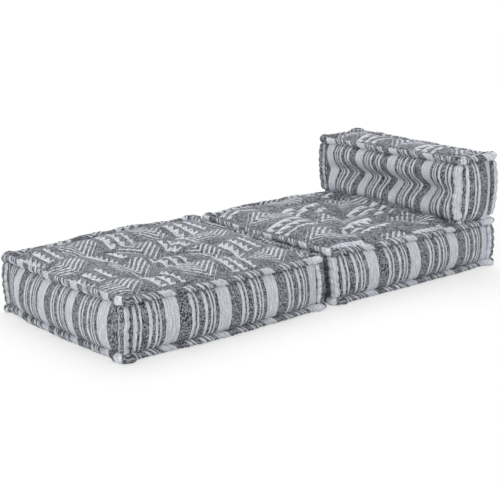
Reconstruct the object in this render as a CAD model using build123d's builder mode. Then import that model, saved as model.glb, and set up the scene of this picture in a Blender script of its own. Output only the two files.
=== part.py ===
from build123d import *
from math import atan2, cos, hypot, pi, sqrt, tan
import os

os.makedirs("parts", exist_ok=True)

# The set stands on z = 0. X runs along the sofa, from the ottoman to the backrest, Y across it.
# All sizes are in millimetres.

# Seat modules
module_length = 700  # along the sofa, over the bulging walls
module_width = 600  # across the sofa, over the bulging walls
seat_height = 162  # floor to the top of the upper rolled edge
module_gap = 30  # between the bulging walls of the two seat modules
seat_bulge = 8  # a wall's middle stands this far outside the rolled edges

# Backrest cushion
backrest_depth = 164  # along the sofa, over the rolled edges
backrest_height = 196  # over the rolled edges
backrest_bulge = 4

# Rolled edges, cover and stuffing
roll_thickness = 27  # stuffed roll along every top and bottom edge
post_thickness = 24  # stuffed roll up every corner
corner_turn = 15  # radius of a roll's centre line at a corner
wall_seam_inset = 10  # stitched line of a wall, inside the roll's outer line
top_seam_drop = 4  # stitched line of a top pad, below the roll's top
top_pad_depth = 12  # wadding of a top pad, below its stitched line
wall_pad_depth = 8  # wadding of a wall pad, behind its deepest point
cloth = 1.5  # bottom cloth with its lining
cloth_corner = 8
ease = 0.3  # free space between neighbouring soft pieces
flattest_rise = 1.2  # the flattest arc of a stuffed face still rises this much

# Crowns, above the stitched line of a top pad
ottoman_crown = 17
seat_crown = 27
backrest_crown = 9

# Tufts, each one loop of twine pulled tight through the cushion
twine = 2.5  # diameter
twine_span = 12  # between the two strands of one loop
twine_turn = 2  # radius of the twine's centre line where it turns
twine_stand = 3  # centre line of a cross strand, outside the bottom of its tuft
ottoman_pitch = 158  # from the middle tuft to the outer ones, along the sofa
ottoman_row = 128  # the same, across the sofa
ottoman_tuft_depth = 7  # below the stitched line
seat_pitch = 135
seat_row = 150
seat_tuft_depth = 5
seat_tuft_shift = -20  # the seat's middle tuft, from the module's middle
backrest_row = 147  # between the backrest's three tufts
backrest_tuft_depth = 20  # inside the stitched line of its walls
backrest_fold_depth = 5  # the fold that joins those tufts
backrest_fold_rise = 8  # of the arcs above and below that fold

# Form of a top pad, slice by slice. Each row has the slice's place as a share of the tuft
# pitch, then its height at the outer rows of tufts, its height in the middle, the rise of
# the outer arcs and the rise of the inner arcs. Shares above 0 are of the crown, and shares
# below 0 are of the tufts' depth
ottoman_form_shares = [
    (-1.5, 0.7, 0.8, 0.25, 0.1),
    (-1, -1, 0.85, 0.5, 0.3),
    (-0.5, 0.4, 0.4, 0.35, 0.1),
    (0, 0.95, -1, 0.25, 0.35),
    (0.5, 0.4, 0.4, 0.35, 0.1),
    (1, -1, 0.85, 0.5, 0.3),
    (1.5, 0.7, 0.8, 0.25, 0.1),
]
seat_form_shares = [
    (-1.5, 0.6, 0.75, 0.2, 0.1),
    (-1, -1, 0.9, 0.4, 0.25),
    (-0.5, 0.45, 0.5, 0.3, 0.1),
    (0, 0.95, -1, 0.25, 0.35),
    (0.5, 0.5, 0.5, 0.3, 0.1),
    (1, -1, 0.6, 0.4, 0.2),
]
backrest_form_shares = [(-0.2, 0.9, 0.9, 0.2, 0.1), (0.2, 0.9, 0.9, 0.2, 0.1)]
quincunx_shares = [(-1, -1), (-1, 1), (0, 0), (1, -1), (1, 1)]
row_shares = [-1, 0, 1]
# Slices of a bulging wall: place as a share of half its run, then a share of its bulge
wall_form_shares = [(-1, 0.25), (-0.75, 0.75), (-0.3, 1), (0.3, 1), (0.75, 0.75), (1, 0.25)]
# Slices of a tufted wall: place as a share of the tuft spacing, then a share of the depth
# between the fold that joins the tufts, 0, and a tuft, 1
fold_form_shares = [(-1.4, 0), (-1, 1), (-0.5, 0), (0, 1), (0.5, 0), (1, 1), (1.4, 0)]
steps_between_slices = 3

roll_radius = roll_thickness / 2
post_radius = post_thickness / 2
twine_radius = twine / 2
# A corner roll stands under the middle of the edge roll's turn
post_inset = roll_radius + corner_turn * (1 - 1 / sqrt(2))
# A top pad's square corner clears the same turn
pad_inset = roll_thickness + 2 * ease
facings = {"front": (-1, 0), "rear": (1, 0), "left": (0, -1), "right": (0, 1)}


class Cushion:
    """One stuffed cushion. Its length lies along the sofa, and sizes are over its rolls."""

    def __init__(self, name, x, base, length, width, height, bulge, tufted_walls=()):
        self.name = name
        self.x = x
        self.base = base
        self.length = length
        self.width = width
        self.height = height
        self.bulge = bulge
        self.tufted_walls = tufted_walls
        self.middle = base + height / 2
        self.seam = base + height - top_seam_drop
        # The stuffing block stays inside the rolls and behind the tufts of a wall
        behind_tufts = wall_seam_inset + backrest_tuft_depth + wall_pad_depth + ease
        self.block_inset_x = behind_tufts if tufted_walls else pad_inset
        self.block_inset_y = pad_inset


def edge_roll(cushion, level, radius):
    """A roll all the way round the cushion, with its centre line at this height."""
    far_x = cushion.length / 2 - roll_radius
    far_y = cushion.width / 2 - roll_radius
    corners = [(-far_x, -far_y), (far_x, -far_y), (far_x, far_y), (-far_x, far_y)]
    with BuildPart() as roll:
        with BuildLine(Plane(origin=(cushion.x, 0, level))) as path:
            FilletPolyline(*corners, radius=corner_turn, close=True)
        with BuildSketch(Plane(origin=path.wire() @ 0, z_dir=path.wire() % 0)):
            Circle(radius)
        sweep(path=path.wire())
    return roll.part


def corner_roll(cushion, side_x, side_y):
    """One upright roll, hollowed at both ends where it meets the edge rolls."""
    low = cushion.base + roll_radius
    high = cushion.base + cushion.height - roll_radius
    x = cushion.x + side_x * (cushion.length / 2 - post_inset)
    y = side_y * (cushion.width / 2 - post_inset)
    with BuildPart() as roll:
        with BuildSketch(Plane(origin=(x, y, low))):
            Circle(post_radius)
        extrude(amount=high - low)
        add(edge_roll(cushion, low, roll_radius + ease), mode=Mode.SUBTRACT)
        add(edge_roll(cushion, high, roll_radius + ease), mode=Mode.SUBTRACT)
    return roll.part


def strand_holes(cushion, tufts):
    """Straight holes for the two strands of every tuft, right through the cushion."""
    across = Plane(origin=(cushion.x, 0, cushion.middle), x_dir=(0, 1, 0), z_dir=(1, 0, 0))
    upright = Plane(origin=(cushion.x, 0, cushion.middle))
    half_span = twine_span / 2
    with BuildPart() as holes:
        with BuildSketch(across if cushion.tufted_walls else upright):
            for x, y in tufts:
                with Locations((x - half_span, y), (x + half_span, y)):
                    Circle(twine_radius + ease)
        extrude(amount=cushion.height, both=True)
    return holes.part


def knot_slots(cushion, tufts):
    """Slots in the underside, which hide each loop's lower cross strand."""
    with BuildPart() as slots:
        with BuildSketch(Plane(origin=(cushion.x, 0, cushion.base))):
            with Locations(*tufts):
                SlotCenterToCenter(twine_span, twine + 2 * ease)
        extrude(amount=twine + 2 * ease + twine_turn)
    return slots.part


def twine_loops(cushion, tufts, low, high):
    """One closed loop of twine for each tuft, between these two centre lines."""
    half_span = twine_span / 2
    corners = [(-half_span, low), (half_span, low), (half_span, high), (-half_span, high)]
    with BuildPart() as loops:
        for x, y in tufts:
            if cushion.tufted_walls:
                plane = Plane(origin=(cushion.x, x, cushion.middle), x_dir=(0, 1, 0), z_dir=(0, 0, -1))
            else:
                plane = Plane(origin=(cushion.x + x, y, 0), x_dir=(1, 0, 0), z_dir=(0, -1, 0))
            with BuildLine(plane) as path:
                FilletPolyline(*corners, radius=twine_turn, close=True)
            with BuildSketch(Plane(origin=path.wire() @ 0, z_dir=path.wire() % 0)):
                Circle(twine_radius)
            sweep(path=path.wire())
    return loops.part


def eased_slices(slices):
    """The given slices with soft steps between them, so that tufts and crests are rounded."""
    eased = [slices[0]]
    for start, end in zip(slices, slices[1:]):
        for step in range(1, steps_between_slices + 1):
            share = step / steps_between_slices
            soft_share = (1 - cos(pi * share)) / 2
            place = start[0] + (end[0] - start[0]) * share
            rest = [a + (b - a) * soft_share for a, b in zip(start[1:], end[1:])]
            eased.append((place, *rest))
    return eased


def top_pad(cushion, row, form):
    """Crowned and tufted pad. Each slice has four arcs over a flat underside."""
    far = cushion.width / 2 - pad_inset
    end = cushion.length / 2 - pad_inset
    slices = [(-end, 0, 0, 0, 0)] + form + [(end, 0, 0, 0, 0)]
    with BuildPart() as pad:
        for x, outer, middle, outer_rise, inner_rise in eased_slices(slices):
            rises = (outer_rise, inner_rise, inner_rise, outer_rise)
            crest = [(-far, 0), (-row, outer), (0, middle), (row, outer), (far, 0)]
            plane = Plane(origin=(cushion.x + x, 0, cushion.seam), x_dir=(0, 1, 0), z_dir=(1, 0, 0))
            with BuildSketch(plane):
                with BuildLine():
                    for start, stop, rise in zip(crest, crest[1:], rises):
                        SagittaArc(start, stop, max(rise, flattest_rise))
                    Polyline((far, 0), (far, -top_pad_depth), (-far, -top_pad_depth), (-far, 0))
                make_face()
        loft(ruled=True)
    return pad.part


def wall_slices(cushion, name, half_run):
    """Slices of a wall: place, the middle's distance outside the stitched line, arcs' rise."""
    if name in cushion.tufted_walls:
        end_rise = backrest_fold_rise / 2
        slices = [(-half_run, 0, end_rise)]
        for share, depth_share in fold_form_shares:
            depth = backrest_fold_depth + (backrest_tuft_depth - backrest_fold_depth) * depth_share
            slices.append((backrest_row * share, -depth, backrest_fold_rise))
        return slices + [(half_run, 0, end_rise)]
    slices = []
    half_height = cushion.height / 2 - roll_thickness - ease
    for share, bulge_share in wall_form_shares:
        out = (wall_seam_inset + cushion.bulge) * bulge_share
        # An arc that ends upright at the wall's middle
        rise = hypot(half_height, out) / 2 * tan(atan2(out, half_height) / 2)
        slices.append((half_run * share, out, rise))
    return slices


def wall_pad(cushion, name):
    """Bulging or tufted pad with a flat back. Each slice has two arcs, one above the other."""
    facing = facings[name]
    outward = Vector(*facing, 0)
    along = outward.cross(Vector(0, 0, 1))
    depth = cushion.length if facing[0] else cushion.width
    run = cushion.width if facing[0] else cushion.length
    block_inset = cushion.block_inset_x if facing[0] else cushion.block_inset_y
    half_run = run / 2 - post_inset - post_radius - ease
    back = wall_seam_inset - block_inset + ease
    low = roll_thickness + ease
    high = cushion.height - roll_thickness - ease
    seam = Vector(cushion.x, 0, cushion.base) + outward * (depth / 2 - wall_seam_inset)
    with BuildPart() as pad:
        for place, out, rise in eased_slices(wall_slices(cushion, name, half_run)):
            with BuildSketch(Plane(origin=seam + along * place, x_dir=outward, z_dir=along)):
                with BuildLine():
                    SagittaArc((0, high), (out, cushion.height / 2), rise)
                    SagittaArc((out, cushion.height / 2), (0, low), rise)
                    Polyline((0, low), (back, low), (back, high), (0, high))
                make_face()
        loft(ruled=True)
    return pad.part


def write(cushion, name, piece):
    piece.label = cushion.name + "_" + name
    export_step(piece, "parts/" + piece.label + ".step")


def write_cushion(cushion, row, form, tufts):
    """All pieces of one cushion but its twine."""
    holes = strand_holes(cushion, tufts)
    slots = knot_slots(cushion, tufts)
    through_top = not cushion.tufted_walls

    write(cushion, "top_roll", edge_roll(cushion, cushion.base + cushion.height - roll_radius, roll_radius))
    write(cushion, "bottom_roll", edge_roll(cushion, cushion.base + roll_radius, roll_radius))
    for end in ("front", "rear"):
        for side in ("left", "right"):
            roll = corner_roll(cushion, facings[end][0], facings[side][1])
            write(cushion, f"{end}_{side}_corner_roll", roll)

    with BuildPart() as pad:
        add(top_pad(cushion, row, form))
        if through_top:
            add(holes, mode=Mode.SUBTRACT)
    write(cushion, "top_pad", pad.part)

    for name in facings:
        with BuildPart() as pad:
            add(wall_pad(cushion, name))
            if name in cushion.tufted_walls:
                add(holes, mode=Mode.SUBTRACT)
        write(cushion, name + "_wall_pad", pad.part)

    # Bottom cloth, tucked under the lower roll, with a slot under each tuft
    cloth_inset = roll_radius + sqrt((roll_radius + ease) ** 2 - (roll_radius - cloth) ** 2)
    with BuildPart() as bottom_cloth:
        with BuildSketch(Plane(origin=(cushion.x, 0, cushion.base))):
            cloth_size = (cushion.length - 2 * cloth_inset, cushion.width - 2 * cloth_inset)
            RectangleRounded(*cloth_size, cloth_corner)
        extrude(amount=cloth)
        if through_top:
            add(slots, mode=Mode.SUBTRACT)
    write(cushion, "bottom_cloth", bottom_cloth.part)

    # Stuffing block between the pads
    with BuildPart() as filling:
        with BuildSketch(Plane(origin=(cushion.x, 0, cushion.base + cloth + ease))):
            Rectangle(cushion.length - 2 * cushion.block_inset_x, cushion.width - 2 * cushion.block_inset_y)
        extrude(amount=cushion.seam - top_pad_depth - cushion.base - cloth - 2 * ease)
        add(holes, mode=Mode.SUBTRACT)
        if through_top:
            add(slots, mode=Mode.SUBTRACT)
    write(cushion, "filling", filling.part)


def scaled_form(form_shares, pitch, shift, crown, tuft_depth):
    """A form's slices in real sizes."""
    slices = []
    for place_share, outer_share, middle_share, outer_rise_share, inner_rise_share in form_shares:
        heights = [share * (crown if share > 0 else tuft_depth) for share in (outer_share, middle_share)]
        rises = (crown * outer_rise_share, crown * inner_rise_share)
        slices.append((shift + pitch * place_share, *heights, *rises))
    return slices


seat_roll_length = module_length - 2 * seat_bulge
seat_roll_width = module_width - 2 * seat_bulge
seat_x = (module_length + module_gap) / 2
ottoman = Cushion("ottoman", -seat_x, 0, seat_roll_length, seat_roll_width, seat_height, seat_bulge)
seat = Cushion("seat", seat_x, 0, seat_roll_length, seat_roll_width, seat_height, seat_bulge)
backrest = Cushion(
    "backrest",
    seat_x + (seat_roll_length - backrest_depth) / 2,
    seat_height + ease,
    backrest_depth,
    module_width - 2 * backrest_bulge,
    backrest_height,
    backrest_bulge,
    ("front", "rear"),
)

# Ottoman, with five tufts
ottoman_form = scaled_form(ottoman_form_shares, ottoman_pitch, 0, ottoman_crown, ottoman_tuft_depth)
ottoman_tufts = [(ottoman_pitch * x, ottoman_row * y) for x, y in quincunx_shares]
write_cushion(ottoman, ottoman_row, ottoman_form, ottoman_tufts)

# Seat, with five tufts, pressed flat where the backrest stands on it
seat_form = scaled_form(seat_form_shares, seat_pitch, seat_tuft_shift, seat_crown, seat_tuft_depth)
pressed = top_seam_drop - flattest_rise
seat_form.append((seat_roll_length / 2 - backrest_depth, pressed, pressed, 0, 0))
seat_tufts = [(seat_tuft_shift + seat_pitch * x, seat_row * y) for x, y in quincunx_shares]
write_cushion(seat, seat_row, seat_form, seat_tufts)

# Backrest, with three tufts between its front and rear walls
backrest_form = scaled_form(backrest_form_shares, backrest_row, 0, backrest_crown, 0)
backrest_tufts = [(backrest_row * share, 0) for share in row_shares]
write_cushion(backrest, backrest_row, backrest_form, backrest_tufts)

# Tufting twine, pulled from the hollow of each tuft to the face behind it
lower_strand = twine_radius + ease
ottoman_strand = ottoman.seam - ottoman_tuft_depth + twine_stand
write(ottoman, "tuft_twine", twine_loops(ottoman, ottoman_tufts, lower_strand, ottoman_strand))
seat_strand = seat.seam - seat_tuft_depth + twine_stand
write(seat, "tuft_twine", twine_loops(seat, seat_tufts, lower_strand, seat_strand))
wall_strand = backrest_depth / 2 - wall_seam_inset - backrest_tuft_depth + twine_stand
write(backrest, "tuft_twine", twine_loops(backrest, backrest_tufts, -wall_strand, wall_strand))
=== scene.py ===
from math import cos, pi, radians, sin

import bpy
import numpy as np
from mathutils import Matrix, Vector, noise


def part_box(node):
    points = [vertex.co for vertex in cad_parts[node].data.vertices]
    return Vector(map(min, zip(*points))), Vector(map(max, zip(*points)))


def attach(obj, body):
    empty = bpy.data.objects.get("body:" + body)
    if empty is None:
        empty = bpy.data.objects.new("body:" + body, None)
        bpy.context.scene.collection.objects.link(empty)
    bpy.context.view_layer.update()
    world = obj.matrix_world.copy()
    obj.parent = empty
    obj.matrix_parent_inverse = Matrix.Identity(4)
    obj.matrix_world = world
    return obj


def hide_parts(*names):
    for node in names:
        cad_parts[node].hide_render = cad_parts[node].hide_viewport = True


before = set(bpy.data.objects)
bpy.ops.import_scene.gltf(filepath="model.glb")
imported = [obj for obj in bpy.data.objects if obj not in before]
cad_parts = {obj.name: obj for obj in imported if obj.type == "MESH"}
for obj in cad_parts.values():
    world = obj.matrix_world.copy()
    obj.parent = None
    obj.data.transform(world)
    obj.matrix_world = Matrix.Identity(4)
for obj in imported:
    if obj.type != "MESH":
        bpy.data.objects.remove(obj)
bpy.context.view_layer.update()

# The three cushions
# An ottoman, a seat and a back cushion are sewn from flat panels of woven cotton and packed by hand
# with cotton and fibre. Packed stuffing is never quite square: corners lean, sides bow, the tops of
# the seat modules arch up along the right-hand side, and faces wander by a few millimetres.
FRONT, REAR, LEFT, RIGHT = "front", "rear", "left", "right"
MM = 0.001
WANDER, WANDER_PACE = 5, 5.5  # in mm, and waves to a metre
# Blender seeds noise_vector from the clock, so it is seeded here. Any other number settles the
# cushions a little differently.
noise.seed_set(1795894033)


class Cushion:
    """One cushion's outline between its rolled edges, and how its stuffing has settled.
    Bows, bulges, leans and the arch are in millimetres."""

    def __init__(self, name, bows, bulges, leans, seed, arch=0):
        self.name = name
        self.low = np.array(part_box(f"{name}_bottom_roll")[0])
        self.high = np.array(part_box(f"{name}_top_roll")[1])
        self.bows = bows
        self.bulges = bulges
        self.leans = leans
        self.arch = arch
        self.seed = Vector((seed, 2 * seed, 3 * seed))

    def settle(self, points):
        """Moves points as the stuffing has moved the cloth."""
        share = np.clip((points - self.low) / (self.high - self.low), 0, 1)
        x, y, z = share.T
        moved = points.copy()
        for (end, side, level), lean in self.leans.items():
            weight = x if end == REAR else 1 - x
            weight = weight * (y if side == RIGHT else 1 - y)
            weight = weight * (z if level == "top" else 1 - z)
            moved += weight[:, None] * np.array(lean) * MM
        across, along = 4 * y * (1 - y), 4 * x * (1 - x)
        moved[:, 0] += across * (self.bows[REAR] * x**3 - self.bows[FRONT] * (1 - x) ** 3) * MM
        moved[:, 1] += along * (self.bows[RIGHT] * y**3 - self.bows[LEFT] * (1 - y) ** 3) * MM
        moved[:, 2] += self.arch * along * z * y**3 * MM
        wander = np.array([noise.noise_vector(Vector(p) * WANDER_PACE + self.seed) for p in points])
        wander[:, 2] *= z
        moved += wander * WANDER * MM
        return moved


OTTOMAN = Cushion(
    "ottoman",
    bows={FRONT: 14, REAR: 12, LEFT: 13, RIGHT: 13},
    bulges={FRONT: 16, REAR: 4, LEFT: 14, RIGHT: 12},
    leans={
        (FRONT, LEFT, "top"): (0, -2, 4),
        (FRONT, LEFT, "bottom"): (-15, -15, 0),
        (FRONT, RIGHT, "top"): (2, 4, 2),
        (FRONT, RIGHT, "bottom"): (2, 2, 0),
        (REAR, LEFT, "top"): (6, 0, -5),
        (REAR, LEFT, "bottom"): (10, -5, 0),
        (REAR, RIGHT, "top"): (3, 5, 7),
    },
    seed=11,
    arch=8,
)
SEAT = Cushion(
    "seat",
    bows={FRONT: 11, REAR: 10, LEFT: 13, RIGHT: 12},
    bulges={FRONT: 4, REAR: 14, LEFT: 14, RIGHT: 12},
    leans={
        (FRONT, LEFT, "top"): (-5, 2, 4),
        (FRONT, LEFT, "bottom"): (12, -5, 0),
        (FRONT, RIGHT, "top"): (-3, 3, 4),
        (REAR, LEFT, "bottom"): (10, -2, 0),
        (REAR, LEFT, "top"): (7, -8, -10),
        (REAR, RIGHT, "top"): (0, 2, -6),
    },
    seed=23,
    arch=11,
)
BACKREST = Cushion(
    "backrest",
    bows={FRONT: 5, REAR: 7, LEFT: 5, RIGHT: 5},
    bulges={FRONT: 15, REAR: 12, LEFT: 15, RIGHT: 10},
    leans={
        (FRONT, LEFT, "top"): (0, 0, 4),
        (FRONT, LEFT, "bottom"): (8, 0, -18),
        (REAR, LEFT, "top"): (7, -6, 1),
        (REAR, LEFT, "bottom"): (8, -2, -20),
        (FRONT, RIGHT, "top"): (-14, 8, -8),
        (FRONT, RIGHT, "bottom"): (-2, 8, -12),
        (REAR, RIGHT, "top"): (-5, 9, 3),
        (REAR, RIGHT, "bottom"): (2, 2, -12),
    },
    seed=37,
)
CUSHIONS = (OTTOMAN, SEAT, BACKREST)


# Stuffing blocks
# Each cushion is packed tight with layers of cotton wadding, which the cover holds in shape. The
# block is off-white and fibrous, with soft edges, and it stays behind the pads and the tufts.
FILLING_EASE = {"ottoman": (6, 6, 10), "seat": (6, 6, 10), "backrest": (5, 6, 6)}  # inside the CAD, in mm
FILLING_CUTS = 22
FILLING_SQUARENESS = 8  # 2 would be an egg
FILLING_LUMP, FILLING_LUMP_PACE = 2, 40  # in mm, and waves to a metre
WADDING_DULL, WADDING_BRIGHT = (214, 208, 194), (240, 236, 226)


class Socket:
    """An output of a material's node. Arithmetic on it adds Math nodes."""

    def __init__(self, finish, socket):
        self.finish, self.socket = finish, socket

    def math(self, operation, *others):
        inputs = dict(enumerate((self, *others)))
        return self.finish.node("Math", {"operation": operation}, inputs)

    def __add__(self, other):
        return self.math("ADD", other)

    def __mul__(self, other):
        return self.math("MULTIPLY", other)

    def __sub__(self, other):
        return self.math("SUBTRACT", other)

    def __rsub__(self, other):
        return self.finish.node("Math", {"operation": "SUBTRACT"}, {0: other, 1: self})

    def __truediv__(self, other):
        return self.math("DIVIDE", other)

    def __lt__(self, other):
        return self.math("LESS_THAN", other)

    def __gt__(self, other):
        return self.math("GREATER_THAN", other)

    __radd__, __rmul__ = __add__, __mul__


class Finish:
    """A material in the making, with its Principled shader, or the world."""

    def __init__(self, name, kind="materials"):
        self.material = getattr(bpy.data, kind).new(name)
        self.material.use_nodes = True
        self.tree = self.material.node_tree
        self.shader = self.tree.nodes.get("Principled BSDF")

    def node(self, kind, settings, inputs, output=0):
        made = self.tree.nodes.new("ShaderNode" + kind)
        for key, value in settings.items():
            if key == "stops":
                self.set_stops(made.color_ramp, value)
            else:
                setattr(made, key, value)
        self.feed(made, inputs)
        return Socket(self, made.outputs[output])

    def set_stops(self, ramp, stops):
        """Gives a ramp its steps of grey: where each begins and how light it is."""
        ramp.interpolation = "CONSTANT"
        for spare in list(ramp.elements)[1:]:
            ramp.elements.remove(spare)
        ramp.elements[0].position = 0
        ramp.elements[0].color = (stops[0][1],) * 3 + (1,)
        for start, value in stops[1:]:
            ramp.elements.new(start).color = (value,) * 3 + (1,)

    def feed(self, made, inputs):
        for key, value in inputs.items():
            if isinstance(value, Socket):
                self.tree.links.new(value.socket, made.inputs[key])
            else:
                made.inputs[key].default_value = value

    def mix(self, share, first, second):
        """Two colours mixed, by the colour sockets of a Mix node."""
        return self.node("Mix", {"data_type": "RGBA"}, {0: share, 6: first, 7: second}, 2)

    def vector(self, x, y):
        return self.node("CombineXYZ", {}, {0: x, 1: y})

    def noise(self, where, scale, detail=2.0, roughness=0.55):
        inputs = {"Vector": where, "Scale": scale, "Detail": detail, "Roughness": roughness}
        return self.node("TexNoise", {}, inputs)

    def dashes(self, across, along, yarns, floats):
        """Yarns side by side, each in short dashes: 0 to 1, at random for each dash."""
        yarn = (across * yarns).math("FLOOR")
        shift = self.node("TexWhiteNoise", {"noise_dimensions": "1D"}, {"W": yarn})
        dash = (along * floats + shift * 9).math("FLOOR")
        return self.node("TexWhiteNoise", {"noise_dimensions": "2D"}, {"Vector": self.vector(yarn, dash)})

    def clamped(self, value, low, high):
        """0 below low, 1 above high and straight between them."""
        inputs = {"Value": value, "From Min": low, "From Max": high}
        return self.node("MapRange", {}, inputs)

    def close(self, colour, roughness, height, depth):
        """Connects what the shader shows and adds the bump."""
        normal = self.node("Bump", {}, {"Strength": 1.0, "Distance": depth, "Height": height})
        self.feed(self.shader, {"Base Color": colour, "Roughness": roughness, "Normal": normal})


def shade(*screen):
    """A colour as it looks on a screen, red, green and blue from 0 to 255, made linear."""
    linear = [c / 255 / 12.92 if c < 11 else ((c / 255 + 0.055) / 1.055) ** 2.4 for c in screen]
    return (*linear, 1.0)


def primitive(add, **settings):
    """Adds a primitive by its operator, with nothing else selected."""
    bpy.ops.object.select_all(action="DESELECT")
    add(**settings)
    return bpy.context.object


def select(*pieces):
    """Selects these pieces and nothing else, the first one active."""
    bpy.ops.object.select_all(action="DESELECT")
    for piece in pieces:
        piece.select_set(True)
    bpy.context.view_layer.objects.active = pieces[0]


def points_of(piece):
    points = np.empty(len(piece.data.vertices) * 3)
    piece.data.vertices.foreach_get("co", points)
    return points.reshape(-1, 3)


def place(piece, points):
    piece.data.vertices.foreach_set("co", points.ravel())
    piece.data.update()


def fit_out(piece, cushion, node, slot, finish=None):
    """Smooths a piece and gives it its name, its material and its place in the frame."""
    piece.name = piece.data.name = f"{node}_soft" if slot != "twine" else f"{node}_thread"
    select(piece)
    bpy.ops.object.shade_smooth()
    if finish:
        piece.data.materials.append(finish.material)
    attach(piece, cushion.name)
    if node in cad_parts:
        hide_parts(node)


wadding = Finish("cotton_wadding")
grain = wadding.node("TexCoord", {}, {}, "Object")
fibres = wadding.noise(grain, 240, detail=6, roughness=0.7)
clumps = wadding.noise(grain, 35, detail=3)
wadding.close(
    colour=wadding.mix(clumps, shade(*WADDING_DULL), shade(*WADDING_BRIGHT)),
    roughness=wadding.clamped(fibres, -1.5, 1.0),
    height=fibres + clumps * 2,
    depth=1.5 * MM,
)

for cushion in CUSHIONS:
    node = f"{cushion.name}_filling"
    low, high = (np.array(corner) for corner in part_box(node))
    ease = np.array(FILLING_EASE[cushion.name]) * MM
    block = primitive(bpy.ops.mesh.primitive_cube_add, size=2)
    bpy.ops.object.mode_set(mode="EDIT")
    bpy.ops.mesh.select_all(action="SELECT")
    bpy.ops.mesh.subdivide(number_cuts=FILLING_CUTS)
    bpy.ops.object.mode_set(mode="OBJECT")
    unit = points_of(block)
    fullness = np.linalg.norm(unit, ord=FILLING_SQUARENESS, axis=1)[:, None]
    packed = (low + high) / 2 + unit / fullness * ((high - low) / 2 - ease)
    lumps = np.array([noise.noise_vector(Vector(p) * FILLING_LUMP_PACE) for p in packed])
    place(block, cushion.settle(packed + lumps * FILLING_LUMP * MM))
    fit_out(block, cushion, node, "filling", wadding)


# Bottom cloths
# A flat panel of the patterned cloth closes the underside of each cushion and lies on what carries
# it. It is cut to the size inside the lower rolled edge and stretched flat by the stuffing.
BOTTOM_GRID = 12 * MM
CLOTH_THICKNESS = 1.2 * MM
CLOTH_LIFT = 0.2 * MM  # above the CAD cloth's underside
CLOTH_SHEEN = 0.12
WEAVE_BUMP = 1.0 * MM
GROUND_DARK, GROUND_LIGHT = shade(15, 18, 27), shade(146, 149, 158)
MOTIF_DULL, MOTIF_BRIGHT = shade(170, 174, 183), shade(222, 226, 235)
WORN, MOST_WORN = shade(176, 176, 178), 0.16  # and its share where the cloth is rubbed most

# The motifs, as shares of a cell of the pattern
WOBBLE = 0.05  # how far the weave strays
ARM_SLOPE, ARM_PITCH = 0.9, 0.142  # rise of a chevron's arm, and from one arm to the next
ARM_LOW, ARM_HIGH, ARM_REACH = 0.03, 0.93, 0.46  # where the arms end, and how far to each side
STROKE, STROKE_AT, STROKE_FADE = 0.45, 0.42, 0.34  # an arm's share of the pitch, most at STROKE_AT
TOOTH_PITCH, TEETH_REACH = 0.19, 0.38  # from tooth to tooth, and how far up and down
TEETH = ((-0.38, 0.075, 0.15), (-0.09, 0.055, 0.12), (0.19, 0.045, 0.09))  # start, bar and tooth

jacquard = Finish("jacquard_cloth")
# The map is in pattern cells: chevrons and rows of teeth take turns, like a chessboard
cells = jacquard.node("UVMap", {"uv_map": "weave"}, {})
wobble = jacquard.noise(cells, 22, detail=1) - 0.5
column = jacquard.node("SeparateXYZ", {}, {0: cells}, "X") + wobble * WOBBLE
row = jacquard.node("SeparateXYZ", {}, {0: cells}, "Y") + wobble * WOBBLE
from_middle = column.math("FRACT") - 0.5
up_cell = row.math("FRACT")
aside = from_middle.math("ABSOLUTE")
# Chevrons: nested arms at about 45 degrees, the middle ones heavier
up_arm = up_cell - aside * ARM_SLOPE
stroke = STROKE - (up_arm - STROKE_AT).math("ABSOLUTE") * STROKE_FADE
chevron = (up_arm / ARM_PITCH).math("FRACT") < stroke
chevron = chevron * (up_arm > ARM_LOW) * (aside < ARM_REACH) * (up_cell < ARM_HIGH)
# Teeth: three bars with a saw edge, each lighter than the one before
saw = (up_cell / TOOTH_PITCH).math("FRACT")
bars = []
for start, width, tooth in TEETH:
    beyond = from_middle - start
    bars.append((beyond > 0) * (beyond < saw * tooth + width))
teeth = sum(bars[1:], bars[0]) * ((up_cell - 0.5).math("ABSOLUTE") < TEETH_REACH)
turn = ((column.math("FLOOR") + row.math("FLOOR")) * 0.5).math("FRACT") > 0.25
motif = chevron * (1 - turn) + teeth * turn
# Melange ground: dark and light yarns twisted together, in short dashes
yarn = jacquard.noise(cells, 30, roughness=0.6)
dashes = jacquard.dashes(column, row, yarns=40, floats=38)
melange = jacquard.clamped(dashes + (yarn - 0.5) * 0.6, 0.1, 0.9)
floats = jacquard.clamped(jacquard.dashes(column, row, yarns=41, floats=37), 0.1, 0.5)
ground = jacquard.mix(melange, GROUND_DARK, GROUND_LIGHT)
raised = jacquard.mix(floats, MOTIF_DULL, MOTIF_BRIGHT)
motif_cover = motif * jacquard.clamped(dashes, 0.0, 0.08)
# Washed and rubbed in large soft patches
wear = jacquard.clamped(jacquard.noise(cells, 1.3, detail=3), 0.4, 0.75) * MOST_WORN
jacquard.close(
    colour=jacquard.mix(wear, jacquard.mix(motif_cover, ground, raised), WORN),
    roughness=jacquard.clamped(yarn, -3.5, 1.4),
    height=motif + yarn * 1.2 + dashes * 0.35,
    depth=WEAVE_BUMP,
)
jacquard.shader.inputs["Sheen Weight"].default_value = CLOTH_SHEEN

# Where the pattern starts on each cushion, the size of a cell, and whether the cloth is turned so
# that the chevrons point along the sofa
CELLS = {
    "ottoman": {"start": (-0.705, -0.266), "size": (0.123, 0.122), "turned": False},
    "seat": {"start": (0.036, -0.102), "size": (0.133, 0.160), "turned": True},
    "backrest": {"start": (0.560, 0.055), "size": (0.120, 0.150), "turned": True},
}


def corners_of(piece):
    """The vertex at each corner of each face."""
    corners = np.empty(len(piece.data.loops), int)
    piece.data.loops.foreach_get("vertex_index", corners)
    return corners


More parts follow.
